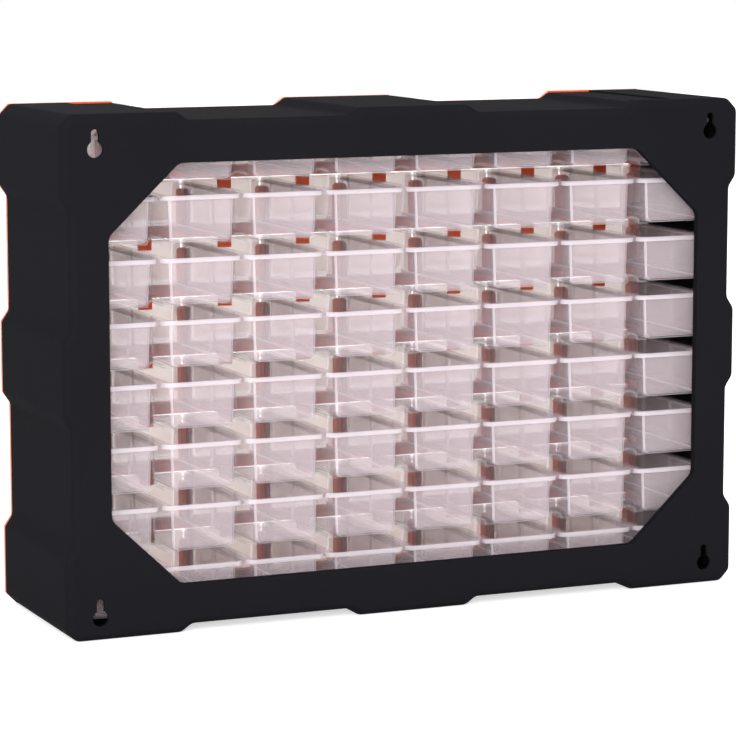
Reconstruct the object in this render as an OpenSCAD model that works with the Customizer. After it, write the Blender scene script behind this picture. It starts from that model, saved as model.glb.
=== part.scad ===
// Parts bin cabinet: a castellated plastic housing with an octagonal rear window, a grid frame
// in its open front, comb-like racks of rails between the columns, and a grid of see-through
// drawers.
// Millimetres. The front faces -Y, the rear +Y, and the origin is the bottom centre.

/* [Drawer grid] */
// Number of drawer columns
columns = 8; // [5:1:8]
// Number of drawer rows
rows = 8; // [5:1:8]
// Centre distance of two columns
cell_w = 61.7; // [58:0.1:66]
// Centre distance of two rows
cell_h = 43; // [41:0.5:48]
// From the last cell to the housing's widest point, on each side
side_margin = 13.2; // [13:0.1:16]
// From the outer cells to the housing's top and bottom
end_margin = 8; // [8:0.5:12]

/* [Housing] */
// Depth of the housing and front frame together
body_d = 144; // [136:1:160]
// Wall thickness of the housing
wall_t = 2.5; // [2:0.1:2.8]
// How far the lobes of the outline stand proud
lobe_h = 5.5; // [4:0.1:5.5]
// Length of a lobe's sloping end
lobe_ramp = 8; // [5:0.5:10]
// Length of a corner lobe along the top and bottom
corner_lobe_x = 84; // [75:1:92]
// Length of a corner lobe along the sides
corner_lobe_z = 57; // [50:1:64]
// Length of the middle lobe along the top and bottom
middle_lobe_x = 84; // [70:1:98]
// Length of the middle lobe along the sides
middle_lobe_z = 51; // [40:1:62]
// Corner cut of the outline
corner_cut = 8; // [6:0.5:10]
// Bevel round the rear face
rear_bevel = 4; // [2:0.5:5]
// Distance of the step in each top corner lobe from the housing's side
step_inset = 50; // [40:1:60]
// Height of that step
step_h = 1.2; // [0.8:0.1:1.4]
// From that step's end to the rear face
step_end = 12; // [8:1:20]

/* [Rear window] */
// Border beside the window
window_side = 33; // [30:0.5:40]
// Border above and below the window
window_end = 34.5; // [32:0.5:40]
// Width of the window's corner cuts
window_cut_x = 51; // [40:1:60]
// Height of the window's corner cuts
window_cut_z = 48.5; // [40:0.5:60]
// Radius that eases the window's corners
window_r = 4; // [2:1:10]
// Depth of the flange round the window, from the rear face
flange_d = 6.5; // [4:0.5:9]
// Thickness of that flange
flange_t = 2.2; // [1.5:0.1:3]

/* [Keyholes] */
// Radius of a keyhole's round part
key_r = 5.6; // [4.5:0.1:6.5]
// Width of a keyhole's slot
key_slot_w = 5.4; // [4:0.1:6]
// From the round part's centre to the slot's closed end
key_slot_l = 13.5; // [10:0.5:15]
// Keyhole centre from the housing's side
key_side = 24; // [20:0.5:26]
// Lower keyhole centre from the housing's bottom
key_low = 15.8; // [13:0.1:20]
// Upper keyhole centre from the housing's top
key_high = 23.7; // [20:0.1:28]

/* [Front frame] */
// Thickness of the frame's front plate and bars
frame_t = 3.2; // [2:0.1:3.6]
// Depth of the frame's skirt, shelves and posts behind its plate
frame_reach = 8.9; // [8.5:0.1:12]
// Thickness of the skirt inside the housing
skirt_t = 2; // [1.5:0.1:2.2]
// Thickness of the shelf behind each bar
shelf_t = 2.2; // [1.5:0.1:2.8]
// Width and depth of the posts between the columns
post_w = 8; // [7:0.1:9]
// From the rim line down to a post's top
post_drop = 6; // [5:0.1:8]
// Width of the stop tongue above each drawer
tongue_w = 10; // [8:0.5:14]
// Thickness of the stop tongue
tongue_t = 2.4; // [1.8:0.1:3]
// How far the stop tongue hangs below the rim line
tongue_drop = 6.5; // [5:0.5:9]

/* [Racks] */
// Thickness of a rack's spine and of a wall rack's panel
panel_t = 1.3; // [1:0.1:1.4]
// Depth of a rack's spine
spine_d = 12; // [8:0.5:20]
// From the rails' rear end to the drawers' rear end
rack_short = 10; // [5:1:20]
// Width of a rail's arch between two drawers
arch_w = 14; // [12:0.5:14.5]
// Height of a rail's arch over its ledges
arch_h = 5; // [4:0.1:6]
// Wall thickness of a rail's arch
arch_t = 1.5; // [1.2:0.1:1.8]
// Reach of a rail's ledge from the column line
ledge_reach = 14; // [13:0.5:16]
// Thickness of a ledge
ledge_t = 1.2; // [1:0.1:1.6]
// Height of the housing's ribs beside a spine's foot
foot_rib_h = 1; // [0.6:0.1:1.2]
// Height of the housing's ribs beside a spine's top and behind the wall racks
guide_h = 3; // [2:0.5:4]
// Thickness of those ribs
guide_t = 1.5; // [1:0.1:2]

/* [Drawers] */
// Height of a drawer
drawer_h = 32.7; // [30:0.1:34]
// Drawer floor above its cell's lower line
floor_rise = 3.3; // [2.6:0.1:4]
// Wall thickness of a drawer
drawer_t = 1.3; // [1:0.1:1.6]
// Floor thickness of a drawer
floor_t = 1.4; // [1:0.1:2]
// Draft of a drawer's side from rim to floor
draft = 1; // [0.5:0.1:1.5]
// Outer radius along a drawer's bottom edges
bottom_r = 5; // [4:0.5:6]
// Outer radius of a drawer's rear corners
rear_r = 3.5; // [3:0.5:5]
// Height of the rim's outer lip
rim_h = 3.3; // [2.5:0.1:4]
// Width of the rim beside the tub
rim_flange = 5.45; // [5:0.05:6]
// Thickness of the rim
rim_t = 1.3; // [1:0.1:1.6]
// Radius of the rim's rear corners
rim_r = 6.5; // [4:0.5:8]
// Reach of the rim behind the tub
rim_rear = 1.5; // [1:0.1:2.5]
// Thickness of the drawer front
front_t = 2; // [1.6:0.1:2.4]
// How far the drawer front stands behind the frame's face
front_set = 1.5; // [1:0.1:2]
// Room behind the drawers, up to the rear face
rear_room = 15; // [13:0.5:20]
// Width of the pull
pull_w = 28; // [20:1:36]
// How far the pull stands out of the frame's face
pull_out = 8; // [6:0.5:10]
// Thickness of the pull's lip
pull_t = 1.6; // [1.4:0.1:2]
// Height of the pull's root above the drawer floor
pull_z = 9.4; // [8:0.1:11]
// Width of the label recess
label_w = 44; // [36:1:48]
// Height of the label recess
label_h = 13; // [10:0.5:15]
// Depth of the label recess
label_depth = 0.6; // [0.4:0.1:0.8]
// Depth of the ribs that hold a loose divider
rib_depth = 0.9; // [0.6:0.1:1.2]
// Width of the slot between two divider ribs
slot_w = 1.6; // [1.2:0.1:2]

/* [Clearances] */
// Under a drawer, over its shelf and ledges
slide_gap = 0.3; // [0.2:0.1:0.6]
// Above a drawer's rim
top_gap = 0.8; // [0.5:0.1:1.2]
// Between a drawer's rim and the rack beside it
rim_gap = 0.4; // [0.3:0.1:0.6]
// Between the skirt and the housing, and round the racks
seat_gap = 0.3; // [0.2:0.1:0.4]
// Between the drawer front and the posts behind it
post_gap = 0.6; // [0.4:0.1:1]

/* [Hidden] */

// Outer sizes
body_w = columns * cell_w + 2 * side_margin;
body_h = rows * cell_h + 2 * end_margin;
rear_y = (body_d + pull_out) / 2;
front_y = rear_y - body_d;
shell_y = front_y + frame_t;
grid_w = columns * cell_w;
inner_inset = lobe_h + wall_t;

// Drawer sizes, in the drawer's own frame: rear end at 0, floor at 0
drawer_rear_y = rear_y - rear_room;
drawer_l = drawer_rear_y - front_y - front_set;
rim_w = cell_w - panel_t - 2 * rim_gap;
tub_w = rim_w - 2 * rim_flange;
divider_pitch = (drawer_l - front_t - rim_rear) / 3;

// Frame and racks
post_front_y = front_y + front_set + front_t + post_gap;
frame_rear_y = shell_y + frame_reach;
rack_front_y = frame_rear_y + seat_gap;
spine_rear_y = rack_front_y + spine_d;
rack_rear_y = drawer_rear_y - rack_short;
rack_low = inner_inset + seat_gap;
rack_high = body_h - rack_low;
post_slot_d = (frame_rear_y - post_front_y) / 2;
cut_over = 1;
arc_steps = 3;

function drawer_name(r, c) = str("drawer_r", r, "_c", c);
function pair_name(c) = str("drawers_r", rows - 1, "_r", rows, "_c", c);

// Column line i runs between columns i and i + 1; row 1 is the top one
function line_x(i) = (i - columns / 2) * cell_w;
function column_x(c) = line_x(c) - cell_w / 2;
function floor_z(r) = end_margin + (rows - r) * cell_h + floor_rise;
function rim_z(r) = floor_z(r) + drawer_h;

// Arc of a circle from angle a to angle b
function arc(cx, cy, r, a, b, steps = arc_steps) =
    [for (i = [0:steps]) let (t = a + (b - a) * i / steps) [cx + r * cos(t), cy + r * sin(t)]];

// One side of the housing's outline: distance along it, and how far it lies inward
function side_points(length, corner_lobe, middle_lobe) = let (
    half = length / 2,
    near = middle_lobe / 2,
    far = half - corner_lobe
) [
    [-half + corner_cut, 0], [-far, 0], [-far + lobe_ramp, lobe_h], [-near - lobe_ramp, lobe_h],
    [-near, 0], [near, 0], [near + lobe_ramp, lobe_h], [far - lobe_ramp, lobe_h], [far, 0],
    [half - corner_cut, 0]
];

// The whole outline, anticlockwise in X and Z as seen from the front
outline_points = let (
    along_x = side_points(body_w, corner_lobe_x, middle_lobe_x),
    along_z = side_points(body_h, corner_lobe_z, middle_lobe_z)
) concat(
    [for (p = along_x) [p[0], p[1]]],
    [for (p = along_z) [body_w / 2 - p[1], body_h / 2 + p[0]]],
    [for (p = along_x) [-p[0], body_h - p[1]]],
    [for (p = along_z) [-body_w / 2 + p[1], body_h / 2 - p[0]]]
);

// A polygon moved inward by k: each corner goes along the mitre of its two edges
function unit(v) = v / norm(v);
function inward(a, b) = let (u = unit(b - a)) [-u[1], u[0]];
function inset(points, k) = let (n = len(points)) [
    for (i = [0:n - 1]) let (
        before = inward(points[(i + n - 1) % n], points[i]),
        after = inward(points[i], points[(i + 1) % n])
    ) points[i] + k * (before + after) / (1 + before * after)
];

// A polygon with each corner eased by a short curve that starts r before the corner
function eased(points, r, steps = arc_steps) = let (n = len(points)) [
    for (i = [0:n - 1]) let (
        p = points[i],
        a = p + r * unit(points[(i + n - 1) % n] - p),
        b = p + r * unit(points[(i + 1) % n] - p)
    ) for (k = [0:steps]) let (t = k / steps) (1 - t) * (1 - t) * a + 2 * t * (1 - t) * p + t * t * b
];

// The window's octagon
window_points = let (
    x = body_w / 2 - window_side,
    low = window_end,
    high = body_h - window_end
) [
    [-x + window_cut_x, low], [x - window_cut_x, low], [x, low + window_cut_z], [x, high - window_cut_z],
    [x - window_cut_x, high], [-x + window_cut_x, high], [-x, high - window_cut_z], [-x, low + window_cut_z]
];

// A flat shape given in X and Z, made solid between two planes across Y
module slab(y0, y1) {
    translate([0, y1, 0]) rotate([90, 0, 0]) linear_extrude(y1 - y0) children();
}

// A box between two corners
module block(low, high) {
    translate(low) cube(high - low);
}

// The outline between two planes across Y, smaller by k at the second one: a ring of four faces
// per side of the outline, filled by a slab that reaches into it
module outline_taper(y0, y1, k) {
    n = len(outline_points);
    inner = inset(outline_points, k + 2);
    rings = [
        [for (p = outline_points) [p[0], y0, p[1]]],
        [for (p = inset(outline_points, k)) [p[0], y1, p[1]]],
        [for (p = inner) [p[0], y1, p[1]]],
        [for (p = inner) [p[0], y0, p[1]]]
    ];
    polyhedron(
        points = [for (ring = rings) each ring],
        faces = [
            for (j = [0:3]) for (i = [0:n - 1]) let (a = j * n, b = (j + 1) % 4 * n, next = (i + 1) % n)
                [a + i, a + next, b + next, b + i]
        ]
    );
    slab(y0, y1) polygon(inset(outline_points, k + 1));
}

// Keyhole through the rear wall: round below, with its slot above
module keyhole(x, z) {
    slot_r = key_slot_w / 2;
    straight = key_slot_l - slot_r;
    slab_y0 = rear_y - wall_t - cut_over;
    slab_y1 = rear_y + cut_over;
    translate([x, slab_y1, z]) rotate([90, 0, 0]) {
        cylinder(h = slab_y1 - slab_y0, r = key_r, $fn = 64);
        translate([0, straight, 0]) cylinder(h = slab_y1 - slab_y0, r = slot_r, $fn = 48);
        translate([-slot_r, 0, 0]) cube([key_slot_w, straight, slab_y1 - slab_y0]);
    }
}

// What is cut off the inner part of the top corner lobe on the +X side, open at the front
module lobe_step() {
    block([body_w / 2 - corner_lobe_x - lobe_ramp, shell_y - cut_over, body_h - step_h],
          [body_w / 2 - step_inset, rear_y - step_end, body_h + cut_over]);
}

// Ribs inside the housing that hold the spines and stop the wall racks, trimmed to the shell
module rack_guides() {
    foot = inner_inset + foot_rib_h;
    head = body_h - inner_inset - guide_h;
    wall_x = body_w / 2 - inner_inset - guide_h;
    near = panel_t / 2 + seat_gap;
    spine_stop_y = spine_rear_y + seat_gap;
    wall_stop_y = rack_rear_y + seat_gap;
    intersection() {
        union() {
            for (i = [1:columns - 1]) for (side = [0, 1]) translate([line_x(i), 0, 0]) mirror([side, 0, 0])
                for (z = [[0, foot], [head, body_h]]) {
                    block([near, rack_front_y, z[0]], [near + guide_t, spine_stop_y, z[1]]);
                    block([0, spine_stop_y, z[0]], [near + guide_t, spine_stop_y + guide_t, z[1]]);
                }
            for (side = [0, 1]) mirror([side, 0, 0])
                block([wall_x, wall_stop_y, foot], [body_w / 2, wall_stop_y + guide_t, head]);
        }
        slab(rack_front_y, rear_y - wall_t) polygon(inset(outline_points, wall_t / 2));
    }
}

module housing() color([0.13, 0.13, 0.145]) {
    difference() {
        union() {
            slab(shell_y, rear_y - rear_bevel) polygon(outline_points);
            outline_taper(rear_y - rear_bevel, rear_y, rear_bevel);
        }
        slab(shell_y - cut_over, rear_y - wall_t - rear_bevel) polygon(inset(outline_points, wall_t));
        slab(shell_y - cut_over, rear_y - wall_t) polygon(inset(outline_points, wall_t + rear_bevel));
        slab(rear_y - wall_t - cut_over, rear_y + cut_over) polygon(eased(window_points, window_r));
        for (side = [-1, 1]) {
            keyhole(side * (body_w / 2 - key_side), key_low);
            keyhole(side * (body_w / 2 - key_side), body_h - key_high);
        }
        for (side = [0, 1]) mirror([side, 0, 0]) lobe_step();
    }
    slab(rear_y - flange_d, rear_y) difference() {
        polygon(eased(inset(window_points, -flange_t), window_r));
        polygon(eased(window_points, window_r));
    }
    rack_guides();
}

// Post between two drawers, with eased top corners and a slot behind for a rack's tab
module post(i, r) {
    low = floor_z(r) - slide_gap - shelf_t;
    high = rim_z(r) - post_drop;
    ease = post_w / 5;
    half = post_w / 2;
    slot = panel_t / 2 + seat_gap / 2;
    translate([line_x(i), 0, 0]) difference() {
        slab(post_front_y, frame_rear_y)
            polygon([[-half, low], [half, low], [half, high - ease], [half - ease, high],
                     [-half + ease, high], [-half, high - ease]]);
        block([-slot, frame_rear_y - post_slot_d, low + shelf_t], [slot, frame_rear_y + cut_over, high + cut_over]);
    }
}

// Springy tongue that stops a drawer's rear wall when it is pulled out
module stop_tongue(c, r) {
    bar_low = rim_z(r) + top_gap;
    x = column_x(c) - tongue_w / 2;
    block([x, shell_y - frame_t / 2, bar_low], [x + tongue_w, frame_rear_y, bar_low + shelf_t]);
    block([x, frame_rear_y - tongue_t, rim_z(r) - tongue_drop],
          [x + tongue_w, frame_rear_y, bar_low + shelf_t]);
}

module front_frame() color([0.85, 0.32, 0.06]) {
    shelf_x = body_w / 2 - inner_inset - seat_gap - skirt_t / 2;
    slab(front_y, shell_y) difference() {
        polygon(outline_points);
        for (r = [1:rows])
            translate([-grid_w / 2, floor_z(r) - slide_gap])
                square([grid_w, drawer_h + slide_gap + top_gap]);
    }
    slab(shell_y - frame_t / 2, frame_rear_y) difference() {
        polygon(inset(outline_points, wall_t + seat_gap));
        polygon(inset(outline_points, wall_t + seat_gap + skirt_t));
    }
    for (r = [1:rows]) {
        top = floor_z(r) - slide_gap;
        block([-shelf_x, shell_y - frame_t / 2, top - shelf_t], [shelf_x, frame_rear_y, top]);
        for (i = [0:columns]) post(i, r);
        for (c = [1:columns]) stop_tongue(c, r);
    }
}

// Quarter of an ellipse from its crest on the column line to its foot on the +X side
function quarter(w, h) = [for (i = [0:arc_steps]) let (t = 90 * i / arc_steps) [w * sin(t), h * cos(t)]];

// The +X side of a rail for a drawer floor at z: over the arch, round the ledge, and back inside
function rail_side(z) = let (
    inner = quarter(arch_w / 2 - arch_t, arch_h - arch_t)
) [
    for (p = concat(
        quarter(arch_w / 2, arch_h),
        [[ledge_reach, 0], [ledge_reach, -ledge_t], [arch_w / 2 - arch_t, -ledge_t]],
        [for (i = [arc_steps:-1:0]) inner[i]]
    )) p + [0, z - slide_gap]
];

// Combs of rails: a spine with a rail at each row and tabs for the posts' slots
module divider_racks() color([0.93, 0.9, 0.86]) {
    face = panel_t / 2;
    for (i = [1:columns - 1]) translate([line_x(i), 0, 0]) {
        block([-face, rack_front_y, rack_low], [face, spine_rear_y, rack_high]);
        for (r = [1:rows]) {
            side = rail_side(floor_z(r));
            slab(rack_front_y, rack_rear_y)
                polygon(concat(side, [for (k = [len(side) - 2:-1:1]) [-side[k][0], side[k][1]]]));
            block([-face, frame_rear_y - post_slot_d + seat_gap, floor_z(r) - slide_gap + seat_gap],
                  [face, rack_front_y, rim_z(r) - post_drop - seat_gap]);
        }
    }
}

// Half rails on a panel against each side wall of the housing
module wall_racks() color([0.13, 0.13, 0.145]) {
    outer = -(body_w / 2 - inner_inset - seat_gap - grid_w / 2);
    face = outer + panel_t;
    for (side = [0, 1]) mirror([side, 0, 0]) translate([-grid_w / 2, 0, 0])
        slab(rack_front_y, rack_rear_y)
            polygon(concat(
                [[outer, rack_high], [face, rack_high]],
                [for (r = [1:rows]) let (top = floor_z(r) - slide_gap) each concat(
                    [[face, top + arch_h]], rail_side(floor_z(r)), [[face, top + arch_h - arch_t]]
                )],
                [[face, rack_low], [outer, rack_low]]
            ));
}

// Cross-section of the tub in X and Z, thinner by k on its sides and by lift at its floor
function tub_section(k, lift, high) = let (
    half = tub_w / 2 - k,
    foot = half - draft,
    r = bottom_r - k,
    slope = draft / (drawer_h - bottom_r)
) concat(
    [[-half - slope * (high - drawer_h), high]],
    arc(-foot + r, lift + r, r, 180, 270),
    arc(foot - r, lift + r, r, 270, 360),
    [[half + slope * (high - drawer_h), high]]
);

// Plan with round rear corners, in X and Y
function rear_round_plan(half, y_front, y_rear, r) = concat(
    [[-half, y_front], [half, y_front]],
    arc(half - r, y_rear - r, r, 0, 90),
    arc(-half + r, y_rear - r, r, 90, 180)
);

module drawer_rim() {
    half = rim_w / 2;
    y_front = -drawer_l + front_t / 2;
    difference() {
        translate([0, 0, drawer_h - rim_h]) linear_extrude(rim_h)
            polygon(rear_round_plan(half, y_front, 0, rim_r));
        translate([0, 0, drawer_h - rim_h - cut_over]) linear_extrude(rim_h + cut_over - rim_t)
            polygon(rear_round_plan(half - rim_t, y_front - cut_over, -rim_t, rim_r - rim_t));
    }
}

module drawer_front() {
    half = rim_w / 2;
    label_z = drawer_h - rim_h / 2 - label_h;
    tip_y = -pull_out - front_set;
    translate([0, -drawer_l, 0]) {
        difference() {
            block([-half, 0, 0], [half, front_t, drawer_h]);
            block([-label_w / 2, -cut_over, label_z], [label_w / 2, label_depth, label_z + label_h]);
        }
        translate([-pull_w / 2, 0, 0]) rotate([90, 0, 90]) linear_extrude(pull_w)
            polygon([[front_t / 2, pull_z], [0, pull_z], [tip_y, pull_z - pull_t], [tip_y, pull_z - 3 * pull_t],
                     [tip_y + pull_t, pull_z - 3 * pull_t], [tip_y + pull_t, pull_z - 2 * pull_t],
                     [0, pull_z - pull_t], [front_t / 2, pull_z - pull_t]]);
    }
}

// Pairs of ribs on the side walls, a third of the way along from each end
module divider_ribs() {
    root = tub_w / 2 - drawer_t / 2;
    for (k = [1, 2]) for (edge = [-1, 1]) for (side = [0, 1]) mirror([side, 0, 0])
        slab(-rim_rear - k * divider_pitch + edge * (slot_w + rib_depth) / 2 - rib_depth / 2,
             -rim_rear - k * divider_pitch + edge * (slot_w + rib_depth) / 2 + rib_depth / 2)
            polygon([[root, drawer_h - rim_t], [root - drawer_t / 2 - rib_depth, drawer_h - rim_t],
                     [root - drawer_t / 2 - rib_depth - draft, bottom_r], [root - draft, bottom_r]]);
}

module drawer() color([0.88, 0.86, 0.9, 0.6]) {
    y_front = -drawer_l + front_t;
    difference() {
        union() {
            intersection() {
                slab(-drawer_l + front_t / 2, -rim_rear) polygon(tub_section(0, 0, drawer_h));
                linear_extrude(drawer_h) polygon(rear_round_plan(tub_w / 2, -drawer_l, -rim_rear, rear_r));
            }
            drawer_rim();
            drawer_front();
        }
        intersection() {
            slab(y_front, -rim_rear) polygon(tub_section(drawer_t, floor_t, drawer_h + cut_over));
            linear_extrude(drawer_h + cut_over)
                polygon(rear_round_plan(tub_w / 2, y_front, -rim_rear - drawer_t, rear_r - drawer_t));
        }
    }
    divider_ribs();
}

module drawer_at(r, c) {
    translate([column_x(c), drawer_rear_y, floor_z(r)]) drawer();
}

housing();
front_frame();
divider_racks();
wall_racks();
for (c = [1:columns]) {
    for (r = [1:rows - 2]) drawer_at(r, c);
    for (r = [rows - 1, rows]) drawer_at(r, c);
}
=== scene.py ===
import math

import bmesh
import bpy
import numpy as np
from mathutils import Matrix, Vector
from mathutils.geometry import tessellate_polygon


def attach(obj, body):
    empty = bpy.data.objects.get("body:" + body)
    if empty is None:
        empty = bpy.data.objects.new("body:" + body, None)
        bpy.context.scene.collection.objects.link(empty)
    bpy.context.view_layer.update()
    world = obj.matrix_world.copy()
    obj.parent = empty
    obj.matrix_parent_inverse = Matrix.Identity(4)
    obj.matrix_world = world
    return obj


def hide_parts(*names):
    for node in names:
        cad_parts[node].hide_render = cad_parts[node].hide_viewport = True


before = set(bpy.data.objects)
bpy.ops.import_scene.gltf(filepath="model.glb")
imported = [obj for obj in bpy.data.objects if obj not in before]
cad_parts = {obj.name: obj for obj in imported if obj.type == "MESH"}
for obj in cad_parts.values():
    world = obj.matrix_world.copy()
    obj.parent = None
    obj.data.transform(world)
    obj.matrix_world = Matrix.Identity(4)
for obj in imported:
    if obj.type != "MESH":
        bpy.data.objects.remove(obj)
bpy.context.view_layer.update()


# ---- Camera ----------------------------------------------------------------------------------
# It stands behind the cabinet, to the +X side and a little above it, about 2 m away. Focal length
# in pixels of a 736 px wide frame, turn and pitch in degrees, place in millimetres.
FOCAL, TURN, PITCH = 3112.06, math.radians(-23.743), math.radians(8.09)
CAMERA_PLACE = Vector((906.78, 2054.05, 484.61)) * 0.001

forward = Vector((math.sin(TURN) * math.cos(PITCH), -math.cos(TURN) * math.cos(PITCH), -math.sin(PITCH)))
right = Vector((-math.cos(TURN), -math.sin(TURN), 0))
up = right.cross(forward)
camera = bpy.data.objects.new("camera", bpy.data.cameras.new("camera"))
bpy.context.scene.collection.objects.link(camera)
camera.data.sensor_width = 36
camera.data.lens = FOCAL / 736 * 36
turn = Matrix((right, up, -forward)).transposed().to_4x4()
camera.matrix_world = Matrix.Translation(CAMERA_PLACE) @ turn
bpy.context.scene.camera = camera


# ---- Housing ---------------------------------------------------------------------------------
# One deep shell of black polypropylene, injection moulded: a castellated outline with sloping
# lobe ends, a bevel round the rear face, an octagonal window with a flange, and four keyholes.
# Ribs inside hold the ends of the racks. Sizes in millimetres.
BODY_W, BODY_H, BODY_D, PULL_OUT = 520.0, 360.0, 144.0, 8.0
REAR_Y = (BODY_D + PULL_OUT) / 2
FRONT_Y = REAR_Y - BODY_D
FRAME_T, FRAME_REACH = 3.2, 8.9
SHELL_Y = FRONT_Y + FRAME_T
FRAME_REAR_Y = SHELL_Y + FRAME_REACH
WALL_T, LOBE_H, LOBE_RAMP, CORNER_CUT = 2.5, 5.5, 8.0, 8.0
CORNER_LOBE, MIDDLE_LOBE = (84.0, 57.0), (84.0, 51.0)
REAR_BEVEL = 4.0
STEP_X, STEP_H, STEP_END, LOBES_X = BODY_W / 2 - 50, 1.2, 12.0, 150.0
WINDOW_SIDE, WINDOW_END, WINDOW_CUT, WINDOW_EASE = 33.0, 34.5, (51.0, 48.5), 4
FLANGE_D, FLANGE_T = 6.5, 2.2
KEY_X, KEY_LOW, KEY_HIGH = BODY_W / 2 - 24, 15.8, BODY_H - 23.7
KEY_R, KEY_SLOT_R, KEY_SLOT_L, KEY_EASE = 5.6, 2.7, 13.5, 0.45
CELL_W, CELL_H, COLUMNS, ROWS = 61.7, 43.0, 8, 8
END_MARGIN, FLOOR_RISE = 8.0, 3.3
COLUMN_LINES = (np.arange(1, COLUMNS) - COLUMNS / 2) * CELL_W
SEAT_GAP, PANEL_T, SPINE_D = 0.3, 1.3, 12.0
REAR_ROOM, RACK_SHORT = 15, 10
RACK_REAR_Y = REAR_Y - REAR_ROOM - RACK_SHORT
INNER = LOBE_H + WALL_T
FOOT_RIB_H, GUIDE_H, GUIDE_T = 1, 3, 1.5


def unit(v):
    """Each row divided by its length."""
    return v / np.linalg.norm(v, axis=-1, keepdims=True)


def inset(points, k):
    """A closed polygon moved inward by k: each corner goes by k (n1 + n2) / (1 + n1.n2), where n1
    and n2 are the inward normals of the sides that meet there."""
    side = unit(np.roll(points, -1, 0) - points)
    after = np.stack([-side[:, 1], side[:, 0]], 1)
    before = np.roll(after, 1, 0)
    return points + k * (before + after) / (1 + np.sum(before * after, 1, keepdims=True))


def eased(points, cut, steps=5, closed=True):
    """Each corner becomes a quadratic Bezier curve from a point `cut` before it to one `cut` after
    it, or 0.45 of the shorter side: (1-t)^2 a + 2t(1-t) p + t^2 b. An open line keeps its ends."""
    before, after = np.roll(points, 1, 0), np.roll(points, -1, 0)
    sides = np.linalg.norm(before - points, axis=1), np.linalg.norm(after - points, axis=1)
    room = 0.45 * np.minimum(*sides)
    reach = np.minimum(cut, room)[:, None]
    a, b = points + reach * unit(before - points), points + reach * unit(after - points)
    t = np.linspace(0, 1, steps)[:, None, None]
    curve = ((1 - t) ** 2 * a + 2 * t * (1 - t) * points + t * t * b).transpose(1, 0, 2)
    if closed:
        return curve.reshape(-1, points.shape[1])
    return np.concatenate([points[:1], curve[1:-1].reshape(-1, points.shape[1]), points[-1:]])


def strip(rings, close=False):
    """Rings of equal length, stacked; a quad joins points i and i + 1 of ring j to the same two
    of ring j + 1. With close, the last ring joins the first. Returns points and quads."""
    n, m = rings.shape[:2]
    j = np.arange(n if close else n - 1)[:, None]
    i = np.arange(m)[None, :]
    a, b, nxt = j * m, (j + 1) % n * m, (i + 1) % m
    quads = np.stack([a + i, a + nxt, b + nxt, b + i], -1).reshape(-1, 4)
    return rings.reshape(-1, 3), quads


def upright(ring, y):
    """A flat ring in X and Z, set at depth y."""
    return np.stack([ring[:, 0], np.full(len(ring), y), ring[:, 1]], 1)


def new_object(name, points, faces):
    """An object at the origin from points in millimetres, its faces turned outward."""
    mesh = bpy.data.meshes.new(name)
    mesh.from_pydata(np.asarray(points) * 0.001, [], [list(map(int, f)) for f in faces])
    obj = bpy.data.objects.new(name, mesh)
    bpy.context.scene.collection.objects.link(obj)
    bm = bmesh.new()
    bm.from_mesh(mesh)
    bmesh.ops.remove_doubles(bm, verts=bm.verts, dist=1e-7)
    bmesh.ops.recalc_face_normals(bm, faces=bm.faces)
    bm.to_mesh(mesh)
    bm.free()
    return obj


def prism(name, outline, y0, y1):
    """A flat outline in X and Z, made solid from y0 to y1, with a face over each end."""
    n = len(outline)
    points, quads = strip(np.stack([upright(outline, y0), upright(outline, y1)]))
    return new_object(name, points, [*quads, np.arange(n), np.arange(n) + n])


def solved(obj, *steps):
    """Booleans applied in turn, each ("UNION" or "DIFFERENCE", other object); the others go."""
    for kind, other in steps:
        m = obj.modifiers.new("cut", "BOOLEAN")
        m.operation, m.object, m.solver = kind, other, "EXACT"
    bpy.context.view_layer.update()
    seen = obj.evaluated_get(bpy.context.evaluated_depsgraph_get())
    mesh = bpy.data.meshes.new_from_object(seen)
    obj.modifiers.clear()
    old, obj.data = obj.data, mesh
    bpy.data.meshes.remove(old)
    for _, other in steps:
        bpy.data.meshes.remove(other.data)
    return obj


def finished(obj, bevel=0.0, angle=32):
    """Smooth shading with edges sharper than the angle kept crisp, or rounded by a small bevel."""
    obj.data.shade_smooth()
    if bevel:
        m = obj.modifiers.new("edge rounding", "BEVEL")
        m.width, m.segments, m.angle_limit = bevel * 0.001, 2, math.radians(angle)
        m.limit_method, m.use_clamp_overlap, m.harden_normals = "ANGLE", True, False
    else:
        obj.data.set_sharp_from_angle(angle=math.radians(angle))
    m = obj.modifiers.new("flat faces stay flat", "WEIGHTED_NORMAL")
    m.keep_sharp = not bevel
    return obj


def linear(colour):
    """sRGB hex to linear: c / 12.92 up to 0.04045, else ((c + 0.055) / 1.055) ^ 2.4."""
    c = np.array([int(colour[i:i + 2], 16) / 255 for i in (1, 3, 5)])
    return (*np.where(c <= 0.04045, c / 12.92, ((c + 0.055) / 1.055) ** 2.4), 1.0)


def node(material, kind, settings=None, **links):
    """Adds a node. settings go to its sockets by name or number, else to its properties; links
    join another node's output, given as (node, output), to the input of that name or, as _0, of
    that number."""
    made = material.node_tree.nodes.new(kind)
    for key, value in (settings or {}).items():
        if isinstance(key, int) or key in made.inputs:
            made.inputs[key].default_value = value
        else:
            setattr(made, key, value)
    for key, (other, output) in links.items():
        numbered = key[0] == "_" and key[1:].isdigit()
        target = made.inputs[int(key[1:]) if numbered else key.replace("_", " ")]
        material.node_tree.links.new(other.outputs[output], target)
    return made


def empty_material(name):
    """A material with no nodes yet."""
    made = bpy.data.materials.new(name)
    made.use_nodes = True
    made.node_tree.nodes.clear()
    return made


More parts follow.
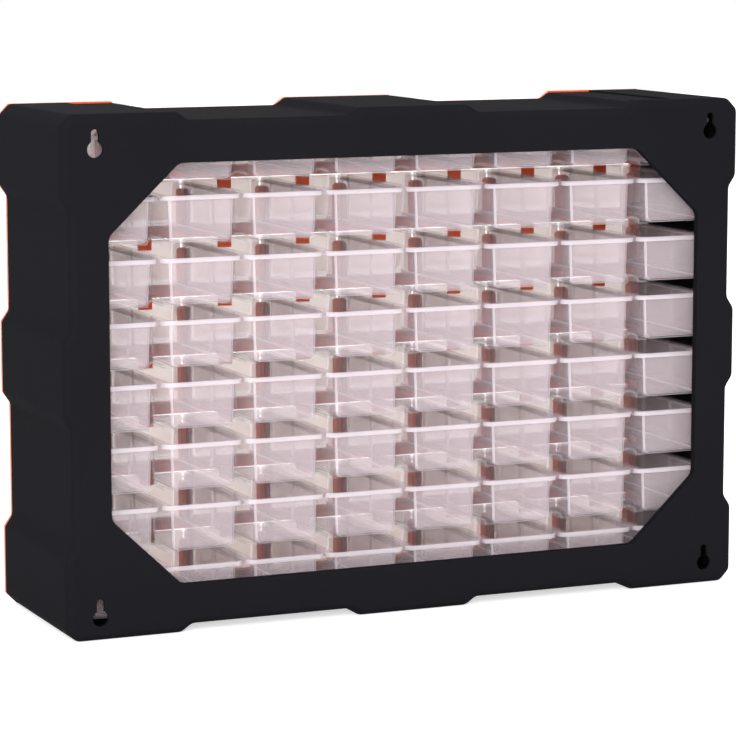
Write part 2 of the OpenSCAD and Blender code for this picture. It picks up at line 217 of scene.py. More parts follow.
def side_profile(length, corner, middle):
    """One side of the outline: distance along it and how far it lies inward, lobe by lobe."""
    half, near, far = length / 2, middle / 2, length / 2 - corner
    return np.array([
        [-half + CORNER_CUT, 0], [-far, 0], [-far + LOBE_RAMP, LOBE_H], [-near - LOBE_RAMP, LOBE_H],
        [-near, 0], [near, 0], [near + LOBE_RAMP, LOBE_H], [far - LOBE_RAMP, LOBE_H], [far, 0],
        [half - CORNER_CUT, 0]])


def housing_outline():
    """The four sides in turn, anticlockwise in X and Z as seen from the front, with close pairs
    of extra points on the top where the corner lobes step."""
    x = side_profile(BODY_W, CORNER_LOBE[0], MIDDLE_LOBE[0])
    z = side_profile(BODY_H, CORNER_LOBE[1], MIDDLE_LOBE[1])
    top = np.array([[-STEP_X - 0.3, 0], [-STEP_X + 0.3, 0], [STEP_X - 0.3, 0], [STEP_X + 0.3, 0]])
    edge = np.array([[-CORNER_LOBE[0] + BODY_W / 2 - STEP_H / LOBE_H * LOBE_RAMP, STEP_H]])
    edge = np.concatenate([edge * [-1, 1], edge])
    over = np.concatenate([x, top, edge])
    over = over[np.argsort(over[:, 0])]
    return np.concatenate([
        x,
        np.stack([BODY_W / 2 - z[:, 1], BODY_H / 2 + z[:, 0]], 1),
        np.stack([-over[:, 0], BODY_H - over[:, 1]], 1),
        np.stack([-BODY_W / 2 + z[:, 1], BODY_H / 2 - z[:, 0]], 1)])


def stepped(points):
    """The inner part of the two top corner lobes is lowered: z <= height - step there, from the
    front to a line before the rear. LOBES_X lies between the middle lobe and the corner lobes."""
    from_middle = np.abs(points[:, 0])
    low = (from_middle < STEP_X) & (from_middle > LOBES_X) & (points[:, 1] < REAR_Y - STEP_END)
    points[:, 2] = np.where(low, np.minimum(points[:, 2], BODY_H - STEP_H), points[:, 2])
    return points


def window_ring(k):
    """The window's octagon moved inward by k, its corners eased."""
    x, z = BODY_W / 2 - WINDOW_SIDE, BODY_H / 2 - WINDOW_END
    cx, cz = x - WINDOW_CUT[0], z - WINDOW_CUT[1]
    octagon = np.array([[-cx, -z], [cx, -z], [x, -cz], [x, cz], [cx, z], [-cx, z], [-x, cz], [-x, -cz]])
    return eased(inset(octagon + [0, BODY_H / 2], k), WINDOW_EASE, 9)


def housing_shell():
    """A profile carried round the outline, from the rear wall's inside over the side wall and
    front edge to the rear face; a second one through the window; and a face between their ends."""
    outline = housing_outline()
    inside = np.array([
        [REAR_Y - WALL_T, WALL_T + REAR_BEVEL + 2.5], [REAR_Y - WALL_T, WALL_T + REAR_BEVEL],
        [REAR_Y - WALL_T - REAR_BEVEL, WALL_T], [SHELL_Y, WALL_T], [SHELL_Y, 0],
        [REAR_Y - STEP_END - 0.4, 0], [REAR_Y - STEP_END + 0.4, 0],
        [REAR_Y - REAR_BEVEL, 0], [REAR_Y, REAR_BEVEL], [REAR_Y, REAR_BEVEL + 2.5]])
    profile = np.concatenate([eased(inside[:4], 1.2, 4, False)[:-1], eased(inside[3:5], 0.3, 3, False),
                              [[SHELL_Y + 0.05, 0]], eased(inside[5:], 1.7, 6, False)])
    body = np.stack([upright(eased(inset(outline, k), 2.6), y) for y, k in profile])
    hole = eased(np.array([
        [REAR_Y, -2.5], [REAR_Y, 0], [REAR_Y - FLANGE_D, 0], [REAR_Y - FLANGE_D, -FLANGE_T],
        [REAR_Y - WALL_T, -FLANGE_T], [REAR_Y - WALL_T, -FLANGE_T - 2.5]]), 0.8, 4, False)
    window = np.stack([upright(window_ring(k), y) for y, k in hole])
    points, quads = strip(body)
    more, hole_quads = strip(window)
    n, m, base = body.shape[1], window.shape[1], len(points)
    loops = [((len(body) - 1) * n + np.arange(n), base + np.arange(m)),
             (np.arange(n), base + (len(window) - 1) * m + np.arange(m))]
    points = np.concatenate([stepped(points), more])
    faces = [*quads, *(hole_quads + base)]
    for outer, inner in loops:
        index = np.concatenate([outer, inner])
        flat = [[Vector(p) for p in points[loop][:, [0, 2]]] for loop in (outer, inner)]
        flat = [[p.to_3d() for p in loop] for loop in flat]
        faces += [index[list(t)] for t in tessellate_polygon(flat)]
    return new_object("housing_shell", points, faces)


def keyhole_cutter(x, z):
    """A round hole with a slot above it, carried through the rear wall. Its edge is eased: the
    ring widens towards the rear face."""
    a = math.asin(KEY_SLOT_R / KEY_R)
    t = np.linspace(math.pi / 2 + a, 5 * math.pi / 2 - a, 40)
    s = np.linspace(0, math.pi, 14)
    ring = np.concatenate([
        np.stack([KEY_R * np.cos(t), KEY_R * np.sin(t)], 1),
        np.stack([KEY_SLOT_R * np.cos(s), KEY_SLOT_L - KEY_SLOT_R + KEY_SLOT_R * np.sin(s)], 1)])
    wide = ring + KEY_EASE * unit(ring - np.array([0, 2.5]))
    depth = [(REAR_Y - WALL_T - 1, ring), (REAR_Y - 0.4, ring), (REAR_Y - 0.12, ring * 0.7 + wide * 0.3),
             (REAR_Y + 0.3, wide)]
    rings = np.stack([upright(r + [x, z], y) for y, r in depth])
    points, quads = strip(rings)
    n, last = len(ring), 3 * len(ring)
    return new_object("keyhole_cutter", points, [*quads, np.arange(n), np.arange(n) + last])


def boxes(name, corners):
    """One object of separate boxes, each from its lowest and highest corner."""
    corners = np.asarray(corners, float)
    pick = np.array([[x, y, z] for x in (0, 1) for y in (0, 1) for z in (0, 1)])
    points = np.where(pick[None] == 0, corners[:, :1], corners[:, 1:])
    sides = np.array([[0, 1, 3, 2], [4, 6, 7, 5], [0, 4, 5, 1], [2, 3, 7, 6], [0, 2, 6, 4], [1, 5, 7, 3]])
    faces = (sides[None] + 8 * np.arange(len(corners))[:, None, None]).reshape(-1, 4)
    return new_object(name, points.reshape(-1, 3), faces)


def rack_guides():
    """Ribs inside the shell: two beside the foot and head of each rack's spine, one behind them,
    and one behind each wall rack."""
    foot, head, stop = INNER + FOOT_RIB_H, BODY_H - INNER - GUIDE_H, RACK_REAR_Y + SEAT_GAP
    front, near, into = FRAME_REAR_Y + SEAT_GAP, PANEL_T / 2 + SEAT_GAP, 1
    back, far = front + SPINE_D + SEAT_GAP, near + GUIDE_T
    found = []
    for x in COLUMN_LINES:
        for s in (-1, 1):
            for z0, z1 in ((INNER - into, foot), (head, BODY_H - INNER + into)):
                a, b = sorted((x + s * near, x + s * far))
                found.append([(a, front, z0), (b, back, z1)])
        for z0, z1 in ((INNER - into, foot), (head, BODY_H - INNER + into)):
            found.append([(x - far, back, z0), (x + far, back + GUIDE_T, z1)])
    wall = BODY_W / 2 - INNER
    found += [[(-wall - into, stop, foot), (-wall + GUIDE_H, stop + GUIDE_T, head)],
              [(wall - GUIDE_H, stop, foot), (wall + into, stop + GUIDE_T, head)]]
    return boxes("rack_guides", found)


keyholes = [keyhole_cutter(s * KEY_X, z) for s in (-1, 1) for z in (KEY_LOW, KEY_HIGH)]
housing = solved(housing_shell(), *[("DIFFERENCE", keyhole) for keyhole in keyholes])
housing.name = "housing_shell"
finished(housing, angle=28)
guides = finished(rack_guides(), bevel=0.2)

# Black polypropylene, injection moulded in a lightly spark-eroded mould: deep neutral black and
# nearly without shine, with a fine matt grain about 0.6 mm wide. Shade and roughness wander a
# little over a hand's width.
black = empty_material("black_polypropylene_moulded")
place = node(black, "ShaderNodeTexCoord")
grain = node(black, "ShaderNodeTexNoise", {"Scale": 1600.0, "Detail": 3.0}, Vector=(place, "Object"))
sheen = node(black, "ShaderNodeTexNoise", {"Scale": 9.0, "Detail": 2.0}, Vector=(place, "Object"))
shade = node(black, "ShaderNodeMix", {"data_type": "RGBA", 6: linear("#18181b"), 7: linear("#1c1c20")},
             _0=(sheen, "Fac"))
gloss = node(black, "ShaderNodeMapRange", {"To Min": 0.86, "To Max": 0.96}, Value=(sheen, "Fac"))
bump = node(black, "ShaderNodeBump", {"Strength": 0.25, "Distance": 0.00012}, Height=(grain, "Fac"))
plastic = node(black, "ShaderNodeBsdfPrincipled", {"IOR": 1.49, "Specular IOR Level": 0.02},
               Base_Color=(shade, 2), Roughness=(gloss, "Result"), Normal=(bump, "Normal"))
node(black, "ShaderNodeOutputMaterial", Surface=(plastic, "BSDF"))
for piece in (housing, guides):
    piece.data.materials.append(black)
    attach(piece, "root")
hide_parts("housing")


# ---- Front frame -----------------------------------------------------------------------------
# One orange moulding that closes the housing's front: a border plate with eight long openings,
# a skirt, shelves, posts between the columns and a springy tongue above each drawer. The CAD
# solid has its shape; its edges get the small radius that a moulding has.
orange_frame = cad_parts["front_frame"]
m = orange_frame.modifiers.new("one surface", "WELD")
m.merge_threshold = 1e-6
m = orange_frame.modifiers.new("flat faces", "DECIMATE")
m.decimate_type, m.angle_limit = "DISSOLVE", math.radians(0.5)
m = orange_frame.modifiers.new("edge rounding", "BEVEL")
m.width, m.segments, m.limit_method, m.angle_limit = 0.0004, 2, "ANGLE", math.radians(25)
m = orange_frame.modifiers.new("flat faces stay flat", "WEIGHTED_NORMAL")

# Orange polypropylene, injection moulded and polished less than a show face: strong, even orange
# with slow flow marks about 40 mm long and a satin gloss, its edges warm from the light inside it.
orange = empty_material("orange_polypropylene_moulded")
place = node(orange, "ShaderNodeTexCoord")
flow = node(orange, "ShaderNodeTexNoise", {"Scale": 25.0, "Detail": 2.0, "Distortion": 0.6},
            Vector=(place, "Object"))
grain = node(orange, "ShaderNodeTexNoise", {"Scale": 1400.0, "Detail": 2.0}, Vector=(place, "Object"))
shade = node(orange, "ShaderNodeMix", {"data_type": "RGBA", 6: linear("#e2591b"), 7: linear("#e96422")},
             _0=(flow, "Fac"))
gloss = node(orange, "ShaderNodeMapRange", {"To Min": 0.36, "To Max": 0.46}, Value=(flow, "Fac"))
bump = node(orange, "ShaderNodeBump", {"Strength": 0.2, "Distance": 0.0001}, Height=(grain, "Fac"))
plastic = node(orange, "ShaderNodeBsdfPrincipled",
               {"IOR": 1.49, "Subsurface Weight": 0.5, "Subsurface Radius": (1.0, 0.35, 0.15),
                "Subsurface Scale": 0.004},
               Base_Color=(shade, 2), Roughness=(gloss, "Result"), Normal=(bump, "Normal"))
node(orange, "ShaderNodeOutputMaterial", Surface=(plastic, "BSDF"))
orange_frame.data.materials.clear()
orange_frame.data.materials.append(orange)


# ---- Divider racks ---------------------------------------------------------------------------
# Seven combs of natural polypropylene between the columns, each moulded in one: an upright spine
# behind the frame's posts, and at every row an arched rail with a ledge on both sides that carries
# the drawers. The spine's ends sit in ribs of the housing, its tabs in slots of the posts.
DRAWER_H, SLIDE_GAP = 32.7, 0.3
FRONT_SET, FRONT_T, POST_GAP, POST_DROP = 1.5, 2.0, 0.6, 6.0
ARCH_W, ARCH_H, ARCH_T, LEDGE_REACH, LEDGE_T = 14.0, 5.0, 1.5, 14.0, 1.2
RACK_LOW, RACK_HIGH = INNER + SEAT_GAP, BODY_H - INNER - SEAT_GAP
RACK_FRONT_Y = FRAME_REAR_Y + SEAT_GAP
POST_FRONT_Y = FRONT_Y + FRONT_SET + FRONT_T + POST_GAP
POST_SLOT_D = (FRAME_REAR_Y - POST_FRONT_Y) / 2
FLOOR_Z = END_MARGIN + FLOOR_RISE + CELL_H * np.arange(ROWS - 1, -1, -1)


def rail_side(z):
    """The +X side of a rail for a drawer floor at z: down the outer ellipse (w sin t, h cos t) from
    the crest, out along the ledge and back under it, and up the inner ellipse, thinner by the
    wall, to the crest."""
    t = np.linspace(0, math.pi / 2, 9)
    outer = np.stack([ARCH_W / 2 * np.sin(t), ARCH_H * np.cos(t)], 1)
    inner = np.stack([(ARCH_W / 2 - ARCH_T) * np.sin(t), (ARCH_H - ARCH_T) * np.cos(t)], 1)[::-1]
    ledge = [[LEDGE_REACH, 0], [LEDGE_REACH, -LEDGE_T], [ARCH_W / 2 - ARCH_T, -LEDGE_T]]
    return np.concatenate([outer, ledge, inner]) + [0, z - SLIDE_GAP]


def divider_rack(x):
    """A spine, tabs in front of it and an arched rail at each row, joined to one solid."""
    face = PANEL_T / 2
    low, high = FLOOR_Z - SLIDE_GAP + SEAT_GAP, FLOOR_Z + DRAWER_H - POST_DROP - SEAT_GAP
    spine = boxes("spine", [[(x - face, RACK_FRONT_Y, RACK_LOW),
                             (x + face, RACK_FRONT_Y + SPINE_D, RACK_HIGH)]])
    tabs = boxes("tabs", [[(x - face + 0.01, FRAME_REAR_Y - POST_SLOT_D + SEAT_GAP, a),
                           (x + face - 0.01, RACK_FRONT_Y + 0.5, b)] for a, b in zip(low, high)])
    sides = [rail_side(z) for z in FLOOR_Z]
    sections = [np.concatenate([side, side[-2:0:-1] * [-1, 1]]) + [x, 0] for side in sides]
    rails = [prism("rail", section, RACK_FRONT_Y, RACK_REAR_Y) for section in sections]
    return solved(spine, ("UNION", tabs), *[("UNION", rail) for rail in rails])


# Natural polypropylene, unpigmented and a little over a millimetre thick: nearly clear with a
# white cast, and a satin moulded surface whose sheen wanders over about 30 mm.
natural = empty_material("natural_polypropylene_moulded")
place = node(natural, "ShaderNodeTexCoord")
cloud = node(natural, "ShaderNodeTexNoise", {"Scale": 32.0, "Detail": 3.0}, Vector=(place, "Object"))
grain = node(natural, "ShaderNodeTexNoise", {"Scale": 900.0, "Detail": 2.0}, Vector=(place, "Object"))
shade = node(natural, "ShaderNodeMix", {"data_type": "RGBA", 6: linear("#faf3f3"), 7: linear("#fdf8f8")},
             _0=(cloud, "Fac"))
gloss = node(natural, "ShaderNodeMapRange", {"To Min": 0.38, "To Max": 0.5}, Value=(cloud, "Fac"))
bump = node(natural, "ShaderNodeBump", {"Strength": 0.2, "Distance": 0.0001}, Height=(grain, "Fac"))
plastic = node(natural, "ShaderNodeBsdfPrincipled", {"IOR": 1.49, "Alpha": 0.14},
               Base_Color=(shade, 2), Roughness=(gloss, "Result"), Normal=(bump, "Normal"))
node(natural, "ShaderNodeOutputMaterial", Surface=(plastic, "BSDF"))

racks = [divider_rack(x) for x in COLUMN_LINES]
for number, rack in enumerate(racks, 1):
    rack.name = f"divider_rack_{number}"
    finished(rack, bevel=0.25)
    rack.data.materials.append(natural)
    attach(rack, "root")
    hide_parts("divider_racks")


# ---- Wall racks ------------------------------------------------------------------------------
# Two half racks of the housing's black polypropylene: a panel flat against each side wall, with
# half rails on one side for the outer drawers.
def wall_rack(side):
    """A panel on that side's wall with half a rail at each row."""
    line = COLUMNS * CELL_W / 2
    outer = -(BODY_W / 2 - INNER - SEAT_GAP - line)
    face = outer + PANEL_T
    crests = FLOOR_Z - SLIDE_GAP + ARCH_H
    rows = [np.concatenate([[[face, crest]], rail_side(z), [[face, crest - ARCH_T]]])
            for z, crest in zip(FLOOR_Z, crests)]
    outline = np.concatenate([[[outer, RACK_HIGH], [face, RACK_HIGH]], *rows,
                              [[face, RACK_LOW], [outer, RACK_LOW]]])
    return prism("wall_rack", (outline - [line, 0]) * [side, 1], RACK_FRONT_Y, RACK_REAR_Y)


for side, word in ((1, "left"), (-1, "right")):
    rack = wall_rack(side)
    rack.name = f"wall_rack_{word}"
    finished(rack, bevel=0.25)
    rack.data.materials.append(black)
    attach(rack, "root")
    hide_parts("wall_racks")


# ---- Drawers ---------------------------------------------------------------------------------
# Sixty-four small drawers of clarified polypropylene, each moulded in one: a tub with rounded
# floor edges and rear corners, a rim with an outer lip, pairs of ribs on the side walls for a
# loose divider, and a front plate with a label recess and a finger pull.
RIM_GAP, RIM_FLANGE = 0.4, 5.45
RIM_W = CELL_W - PANEL_T - 2 * RIM_GAP
TUB_HALF = RIM_W / 2 - RIM_FLANGE
DRAWER_L = REAR_Y - REAR_ROOM - FRONT_Y - FRONT_SET
DRAWER_T, FLOOR_T, DRAFT, BOTTOM_R, REAR_R = 1.3, 1.4, 1.0, 5.0, 3.5
RIM_H, RIM_T, RIM_R, RIM_REAR = 3.3, 1.3, 6.5, 1.5
LABEL_W, LABEL_H, LABEL_D = 44.0, 13.0, 0.6
PULL_W, PULL_Z, PULL_T, PULL_SHORT = 28.0, 9.4, 1.6, 0.6
RIB_D, SLOT_W, RIB_LOW, RIB_HIGH = 0.9, 1.6, 4.6, 31.2


def plan_ring(half, front, rear, r, z):
    """A rectangle with rounded corners at height z: ten points along each long side, six along
    each short one, and at each corner centre + r (cos, sin) over a quarter turn."""
    a = np.linspace(0, math.pi / 2, 7)[:, None]
    turn = lambda x, y, start, q: np.concatenate([x + q * np.cos(a + start), y + q * np.sin(a + start)], 1)
    y = np.linspace(front + 0.8, rear - r, 12)[1:-1, None]
    x = np.linspace(half - r, -half + r, 8)[1:-1, None]
    f = np.linspace(-half + 0.8, half - 0.8, 8)[1:-1, None]
    ring = np.concatenate([
        np.concatenate([np.full_like(y, half), y], 1), turn(half - r, rear - r, 0, r),
        np.concatenate([x, np.full_like(x, rear)], 1), turn(-half + r, rear - r, math.pi / 2, r),
        np.concatenate([np.full_like(y, -half), y[::-1]], 1), turn(-half + 0.8, front + 0.8, math.pi, 0.8),
        np.concatenate([f, np.full_like(f, front)], 1), turn(half - 0.8, front + 0.8, 1.5 * math.pi, 0.8)])
    return np.concatenate([ring, np.full((len(ring), 1), z)], 1)


def drawer_tub():
    """Rings from the middle of the inner floor up the inner wall, over the rim, round its lip,
    back under it and down the outer wall to the underside; both floors are closed by a face.
    Each row gives a ring's half width, front, rear, corner radius and height. A fillet of radius
    r lies r (1 - sin t) inward while it rises r (1 - cos t)."""
    wall = lambda z: TUB_HALF - DRAFT * (DRAWER_H - z) / (DRAWER_H - BOTTOM_R)
    t = np.linspace(0, math.pi / 2, 6)
    ri, foot, top = BOTTOM_R - DRAWER_T, wall(BOTTOM_R), DRAWER_H
    back, inner_back = -RIM_REAR, -RIM_REAR - DRAWER_T
    inner_front, outer_front, lip_front, rim_front = (-DRAWER_L + d for d in (2.05, 1.2, 0.8, 0.4))
    w = RIM_W / 2
    rows = [(foot - DRAWER_T - ri * (1 - s), inner_front + 1.5 * (1 - s), inner_back - 2.2 * (1 - s),
             2.2 - 1.2 * (1 - s), FLOOR_T + ri * (1 - c)) for s, c in zip(np.sin(t), np.cos(t))]
    rows += [
        (wall(top) - DRAWER_T, inner_front, inner_back, 2.2, top - 0.45),
        (wall(top) - DRAWER_T + 0.12, inner_front - 0.05, inner_back + 0.12, 2.3, top - 0.12),
        (wall(top) - DRAWER_T + 0.45, inner_front - 0.1, inner_back + 0.45, 2.5, top),
        (w - 0.7, rim_front + 0.1, -0.7, RIM_R - 0.7, top),
        (w - 0.2, rim_front, -0.2, RIM_R - 0.2, top - 0.2),
        (w, rim_front, 0.0, RIM_R, top - 0.7),
        (w, rim_front, 0.0, RIM_R, top - RIM_H + 0.35),
        (w - 0.1, rim_front, -0.1, RIM_R - 0.1, top - RIM_H + 0.1),
        (w - 0.35, rim_front, -0.35, RIM_R - 0.35, top - RIM_H),
        (w - RIM_T + 0.3, lip_front, -RIM_T + 0.45, RIM_R - RIM_T + 0.3, top - RIM_H),
        (w - RIM_T, lip_front, -RIM_T + 0.1, RIM_R - RIM_T, top - RIM_H + 0.3),
        (w - RIM_T, lip_front, -RIM_T + 0.1, RIM_R - RIM_T, top - RIM_T - 0.6),
        (w - RIM_T - 0.15, lip_front, -RIM_T + 0.05, RIM_R - RIM_T - 0.2, top - RIM_T - 0.15),
        (w - RIM_T - 0.6, lip_front + 0.05, -RIM_T, RIM_R - RIM_T - 0.5, top - RIM_T),
        (wall(top) + 0.8, outer_front - 0.1, back + 0.12, REAR_R + 0.5, top - RIM_T),
        (wall(top) + 0.2, outer_front, back + 0.04, REAR_R + 0.1, top - RIM_T - 0.2),
        (wall(top - 2), outer_front, back, REAR_R, top - RIM_T - 0.8)]
    rows += [(foot - BOTTOM_R * (1 - s), outer_front, back - 2.8 * (1 - s), REAR_R - 2 * (1 - s),
              BOTTOM_R * (1 - c)) for s, c in zip(np.sin(t[::-1]), np.cos(t[::-1]))]
    rings = np.stack([plan_ring(half, front, rear, r, z) for half, front, rear, r, z in rows])
    points, quads = strip(rings)
    n = rings.shape[1]
    return new_object("tub", points, [*quads, np.arange(n), np.arange(n) + (len(rings) - 1) * n])


def front_plate():
    """A flat plate with rounded corners and edges: the corner radius and the size shrink together
    over the last half millimetre at its face."""
    corners = np.array([[-RIM_W / 2, 0], [RIM_W / 2, 0], [RIM_W / 2, DRAWER_H], [-RIM_W / 2, DRAWER_H]])
    depth = [(0.0, 0.5), (0.05, 0.3), (0.2, 0.08), (0.5, 0.0), (FRONT_T, 0.0)]
    rings = np.stack([upright(eased(inset(corners, k), 1.4, 6), -DRAWER_L + y) for y, k in depth])
    points, quads = strip(rings)
    n = rings.shape[1]
    return new_object("plate", points, [*quads, np.arange(n), np.arange(n) + 4 * n])


def finger_pull():
    """A hooked lip in Y and Z, carried across the front, its two ends drawn in round a radius. It
    ends a little short of the CAD's, so that no drawer's offset takes it out of the CAD's box."""
    tip = -PULL_OUT - FRONT_SET + PULL_SHORT
    hook = np.array([[1, PULL_Z], [-0.6, PULL_Z], [tip, PULL_Z - PULL_T], [tip, PULL_Z - 3 * PULL_T],
                     [tip + PULL_T, PULL_Z - 3 * PULL_T], [tip + PULL_T, PULL_Z - 2 * PULL_T],
                     [-0.6, PULL_Z - PULL_T], [1, PULL_Z - PULL_T]])
    across = [(-PULL_W / 2, 0.35), (-PULL_W / 2 + 0.1, 0.1), (-PULL_W / 2 + 0.45, 0.0)]
    across = np.array(across + [(-x, k) for x, k in across[::-1]])
    rings = []
    for x, k in across:
        flat = eased(inset(hook[::-1], k), 0.7, 4)
        rings.append(np.stack([np.full(len(flat), x), flat[:, 0] - DRAWER_L, flat[:, 1]], 1))
    points, quads = strip(np.stack(rings))
    n = len(rings[0])
    return new_object("pull", points, [*quads, np.arange(n), np.arange(n) + 5 * n])


def divider_ribs():
    """Eight upright ribs, in pairs a third of the way along from each end, each a box whose faces
    follow the side wall's draft."""
    pitch = (DRAWER_L - FRONT_T - RIM_REAR) / 3
    root = TUB_HALF - DRAWER_T / 2
    inner = root - DRAWER_T / 2 - RIB_D
    tops = np.array([[root, RIB_HIGH], [inner, RIB_HIGH], [inner - DRAFT, RIB_LOW], [root - DRAFT, RIB_LOW]])
    points, faces = [], []
    for k in (1, 2):
        for edge in (-1, 1):
            for s in (-1, 1):
                y = -RIM_REAR - k * pitch + edge * (SLOT_W + RIB_D) / 2
                ends = [upright(tops * [s, 1], y + d * RIB_D / 2) for d in (-1, 1)]
                p, q = strip(np.stack(ends))
                first = len(points) * 8
                faces += [*(q + first), np.arange(4) + first, np.arange(4) + first + 4]
                points.append(p)
    return new_object("ribs", np.concatenate(points), faces)


def label_cutter():
    """The shallow recess for a paper label, with rounded corners."""
    half, low = LABEL_W / 2, DRAWER_H - RIM_H / 2 - LABEL_H
    corners = np.array([[-half, low], [half, low], [half, low + LABEL_H], [-half, low + LABEL_H]])
    return prism("label", eased(corners, 1.5, 6), -DRAWER_L - 1, -DRAWER_L + LABEL_D)


def clarified(name, low, high, alpha, spread=0.0):
    """Clarified polypropylene of one thickness: two tints mixed by the flow noise. spread is the
    share of its light that goes on inside the wall before it comes out."""
    made = empty_material(name)
    place = node(made, "ShaderNodeTexCoord")
    flow = node(made, "ShaderNodeTexNoise", {"Scale": 40.0, "Detail": 2.0, "Distortion": 0.8},
                Vector=(place, "Object"))
    shade = node(made, "ShaderNodeMix", {"data_type": "RGBA", 6: linear(low), 7: linear(high)},
                 _0=(flow, "Fac"))
    gloss = node(made, "ShaderNodeMapRange", {"To Min": 0.2, "To Max": 0.3}, Value=(flow, "Fac"))
    bump = node(made, "ShaderNodeBump", {"Strength": 0.15, "Distance": 0.0003}, Height=(flow, "Fac"))
    plastic = node(made, "ShaderNodeBsdfPrincipled",
                   {"IOR": 1.49, "Alpha": alpha, "Subsurface Weight": spread,
                    "Subsurface Radius": (1.0, 0.95, 0.9), "Subsurface Scale": 0.005},
                   Base_Color=(shade, 2), Roughness=(gloss, "Result"), Normal=(bump, "Normal"))
    node(made, "ShaderNodeOutputMaterial", Surface=(plastic, "BSDF"))
    return made


# Clarified polypropylene, injection moulded, a little over a millimetre thick: slightly milky and
# see-through with a lavender cast, smooth, with faint flow ripples about 25 mm apart. The rosy part
# of the thin and thick tints is painted light, the orange frame's light seen through the walls and
# bounced inside them. Where more of it lies behind its face, at the rear of the rim and the
# rounded edges, it looks whiter.
# The front plates are the thickest: milkier, with light spreading inside them. Their warm beige
# tint is painted light, the orange frame's light reflected in them.
# The rosy part of the thin and thick tints is painted light from the orange frame; the lavender is the
# plastic's own.
clear = clarified("clarified_polypropylene_thin", "#feeaf1", "#fff0f6", 0.19)
milky = clarified("clarified_polypropylene_thick", "#f7ebf3", "#f9f0f7", 0.42)
# The front plates' warm beige tint is painted light: the orange frame's light reflected in them.
glowing = clarified("clarified_polypropylene_front_painted_warm_light", "#f4dfda", "#f8e7e3", 0.6, 1.0)

pattern = solved(drawer_tub(), ("UNION", front_plate()), ("UNION", divider_ribs()),
                 ("UNION", finger_pull()), ("DIFFERENCE", label_cutter()))
pattern.data.shade_smooth()
pattern.data.set_sharp_from_angle(angle=math.radians(40))
for material in (clear, milky, glowing):
    pattern.data.materials.append(material)
rest = np.empty(len(pattern.data.vertices) * 3)
pattern.data.vertices.foreach_get("co", rest)
rest = rest.reshape(-1, 3) * 1000
middle, facing = np.empty(len(pattern.data.polygons) * 3), np.empty(len(pattern.data.polygons) * 3)
pattern.data.polygons.foreach_get("center", middle)
pattern.data.polygons.foreach_get("normal", facing)
middle, facing = middle.reshape(-1, 3) * 1000, facing.reshape(-1, 3)
rounded = np.abs(facing).max(1) < 0.85
rim = (middle[:, 2] > DRAWER_H - RIM_H) & (middle[:, 1] > -RIM_R) & (facing[:, 1] > 0.2)
front = middle[:, 1] < -DRAWER_L + FRONT_T + 0.1
pattern.data.polygons.foreach_set("material_index", np.where(front, 2, rounded | rim).astype(np.int32))


def settled(points, rng):
    """A drawer as it comes from the mould and is pushed in by hand: the rim bows sideways and
    upward as sin(pi y / length), more towards the top, and the whole drawer is a few tenths of a
    millimetre off its place, behind it rather than in front, and turned by up to a thousandth."""
    along = np.sin(np.pi * np.clip(-points[:, 1] / DRAWER_L, 0, 1))
    high = (points[:, 2] / DRAWER_H) ** 3
    bow, lift, x, y, angle = rng.uniform(-1, 1, 5) * [0.15, 0.2, 0.1, 0.21, 0.001]
    out = points.copy()
    out[:, 0] += bow * along * high * points[:, 0] / TUB_HALF + x - angle * (points[:, 1] + DRAWER_L / 2)
    out[:, 1] += y + 0.2 + angle * points[:, 0]
    out[:, 2] += lift * along * high
    return out


rng = np.random.default_rng(64)
for c in range(1, COLUMNS + 1):
    for r in range(1, ROWS + 1):
        body = f"drawer_r{r}_c{c}" if r < ROWS - 1 else f"drawers_r{ROWS - 1}_r{ROWS}_c{c}"
        mesh = pattern.data.copy()
        place_mm = [(c - 0.5 - COLUMNS / 2) * CELL_W, REAR_Y - REAR_ROOM, FLOOR_Z[r - 1]]
        mesh.vertices.foreach_set("co", (settled(rest, rng) + place_mm).ravel() * 0.001)
        drawer = bpy.data.objects.new(f"drawer_tub_r{r}_c{c}", mesh)
        bpy.context.scene.collection.objects.link(drawer)
        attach(drawer, body)
        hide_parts(body)
bpy.data.meshes.remove(pattern.data)


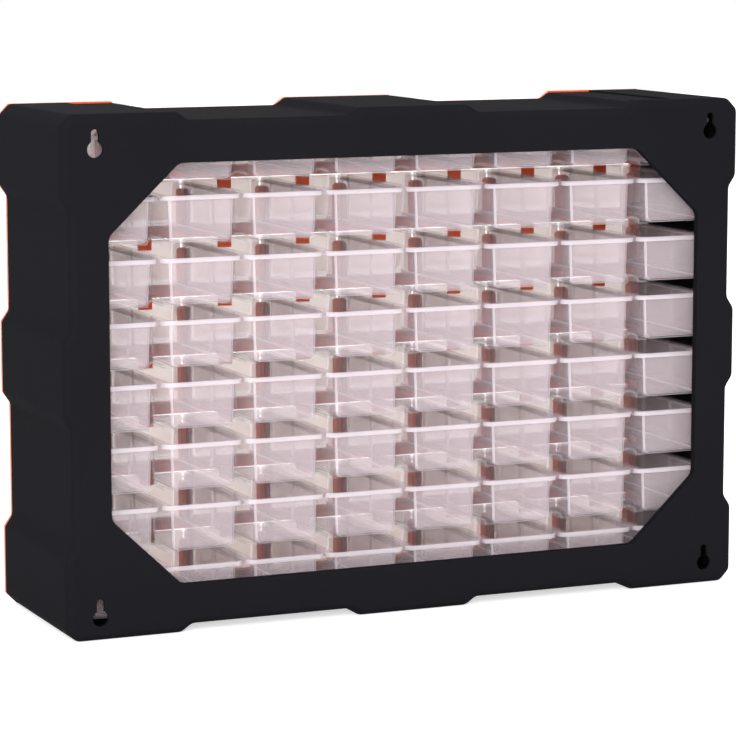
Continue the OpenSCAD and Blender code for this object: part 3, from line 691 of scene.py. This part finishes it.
# ---- Floor and light -------------------------------------------------------------------------
# A plain pale floor, three large soft lamps and a white surround. The main lamp stands low behind
# the cabinet and shines through its window, one hangs above, and a weak one stands in front. To
# the camera the floor glows a little, so it is white as in the photo and keeps its shadow.
def looked_at(shading):
    """A node whose value is 1 for camera, glossy and transmission rays and 0 for all others."""
    path = node(shading, "ShaderNodeLightPath")
    seen = node(shading, "ShaderNodeMath", {"operation": "MAXIMUM"},
                _0=(path, "Is Camera Ray"), _1=(path, "Is Glossy Ray"))
    return node(shading, "ShaderNodeMath", {"operation": "MAXIMUM"},
                _0=(seen, "Value"), _1=(path, "Is Transmission Ray"))


FLOOR_HALF, FLOOR_DROP = 6000, -0.2
corners = [(-1, -1), (1, -1), (1, 1), (-1, 1)]
floor = new_object("floor", [(x * FLOOR_HALF, y * FLOOR_HALF, FLOOR_DROP) for x, y in corners], [range(4)])
pale = empty_material("pale_floor")
matt = node(pale, "ShaderNodeBsdfPrincipled",
            {"Base Color": linear("#f4f4f4"), "Roughness": 0.9, "Specular IOR Level": 0.1})
lift = node(pale, "ShaderNodeMath", {"operation": "MULTIPLY", 1: 0.6}, _0=(looked_at(pale), "Value"))
glow = node(pale, "ShaderNodeEmission", {"Color": (1, 1, 1, 1)}, Strength=(lift, "Value"))
both = node(pale, "ShaderNodeAddShader", _0=(matt, "BSDF"), _1=(glow, "Emission"))
node(pale, "ShaderNodeOutputMaterial", Surface=(both, "Shader"))
floor.data.materials.append(pale)


def soft_lamp(name, place, target, size, watts):
    """A square area lamp at `place`, turned to `target`, both in metres."""
    lamp = bpy.data.lights.new(name, "AREA")
    lamp.shape, lamp.size, lamp.energy = "SQUARE", size, watts
    obj = bpy.data.objects.new(name, lamp)
    bpy.context.scene.collection.objects.link(obj)
    obj.location = place
    obj.rotation_euler = (Vector(target) - Vector(place)).to_track_quat("-Z", "Y").to_euler()
    return obj


soft_lamp("key_lamp", (1.5, 2.6, 1.3), (0, 0, 0.18), 1.6, 66)
soft_lamp("top_lamp", (0.0, 0.2, 2.4), (0, 0, 0.2), 2.0, 16)
soft_lamp("front_lamp", (0.3, -2.3, 0.7), (0, 0, 0.18), 1.8, 10)

world = bpy.data.worlds.new("studio")
bpy.context.scene.world = world
world.use_nodes = True
world.node_tree.nodes.clear()
power = node(world, "ShaderNodeMapRange", {"To Min": 0.85, "To Max": 1.0}, Value=(looked_at(world), "Value"))
sky = node(world, "ShaderNodeBackground", {"Color": (1, 1, 1, 1)}, Strength=(power, "Result"))
node(world, "ShaderNodeOutputWorld", Surface=(sky, "Background"))
bpy.context.scene.view_settings.view_transform = "Standard"
